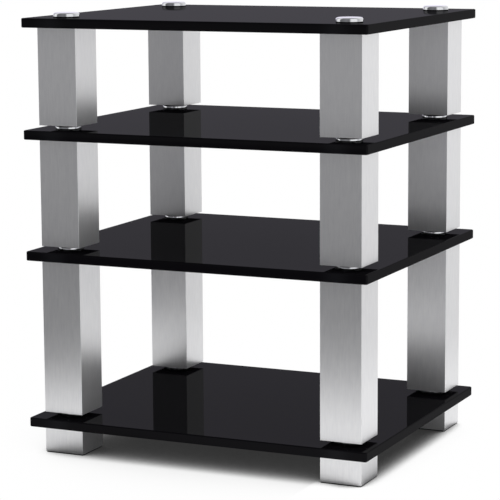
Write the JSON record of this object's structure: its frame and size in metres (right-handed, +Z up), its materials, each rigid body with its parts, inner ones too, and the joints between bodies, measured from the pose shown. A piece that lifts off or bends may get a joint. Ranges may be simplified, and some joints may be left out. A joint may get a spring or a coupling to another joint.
{
  "type": "audio equipment rack",
  "caption": "Free-standing hi-fi rack: tinted black glass shelves on square brushed-aluminium posts, joined by polished screw couplings with matching caps.",
  "frame": {"origin": "on the floor, under the middle of the rack", "axes": "+Z up, +X to the right seen from the front, -Y out of the front"},
  "size_m": [0.64, 0.54, 0.7782],
  "materials": {
    "tinted_glass": "float glass tinted black, toughened, polished edges with a small ground arris; opaque at a glance",
    "brushed_aluminium": "extruded aluminium, brushed lengthwise and clear anodised",
    "polished_chrome": "turned steel, polished and chrome plated",
    "black_nylon": "moulded black nylon, plain",
    "black_rubber": "moulded black rubber-like plastic, matt"
  },
  "bodies": {
    "root": {"shelf_bottom": "tinted_glass", "shelf_lower": "tinted_glass", "shelf_upper": "tinted_glass", "shelf_top": "tinted_glass", "post_lower_front_left": "brushed_aluminium", "post_lower_front_right": "brushed_aluminium", "post_lower_rear_left": "brushed_aluminium", "post_lower_rear_right": "brushed_aluminium", "post_middle_front_left": "brushed_aluminium", "post_middle_front_right": "brushed_aluminium", "post_middle_rear_left": "brushed_aluminium", "post_middle_rear_right": "brushed_aluminium", "post_upper_front_left": "brushed_aluminium", "post_upper_front_right": "brushed_aluminium", "post_upper_rear_left": "brushed_aluminium", "post_upper_rear_right": "brushed_aluminium", "foot_front_left": "brushed_aluminium", "foot_front_right": "brushed_aluminium", "foot_rear_left": "brushed_aluminium", "foot_rear_right": "brushed_aluminium", "coupling_lower_front_left": "polished_chrome", "coupling_lower_front_right": "polished_chrome", "coupling_lower_rear_left": "polished_chrome", "coupling_lower_rear_right": "polished_chrome", "coupling_middle_front_left": "polished_chrome", "coupling_middle_front_right": "polished_chrome", "coupling_middle_rear_left": "polished_chrome", "coupling_middle_rear_right": "polished_chrome", "coupling_upper_front_left": "polished_chrome", "coupling_upper_front_right": "polished_chrome", "coupling_upper_rear_left": "polished_chrome", "coupling_upper_rear_right": "polished_chrome", "cap_front_left": "polished_chrome", "cap_front_right": "polished_chrome", "cap_rear_left": "polished_chrome", "cap_rear_right": "polished_chrome", "bush_bottom_front_left": "black_nylon", "bush_bottom_front_right": "black_nylon", "bush_bottom_rear_left": "black_nylon", "bush_bottom_rear_right": "black_nylon", "bush_lower_front_left": "black_nylon", "bush_lower_front_right": "black_nylon", "bush_lower_rear_left": "black_nylon", "bush_lower_rear_right": "black_nylon", "bush_upper_front_left": "black_nylon", "bush_upper_front_right": "black_nylon", "bush_upper_rear_left": "black_nylon", "bush_upper_rear_right": "black_nylon", "bush_top_front_left": "black_nylon", "bush_top_front_right": "black_nylon", "bush_top_rear_left": "black_nylon", "bush_top_rear_right": "black_nylon", "floor_pad_front_left": "black_rubber", "floor_pad_front_right": "black_rubber", "floor_pad_rear_left": "black_rubber", "floor_pad_rear_right": "black_rubber"}
  },
  "joints": []
}
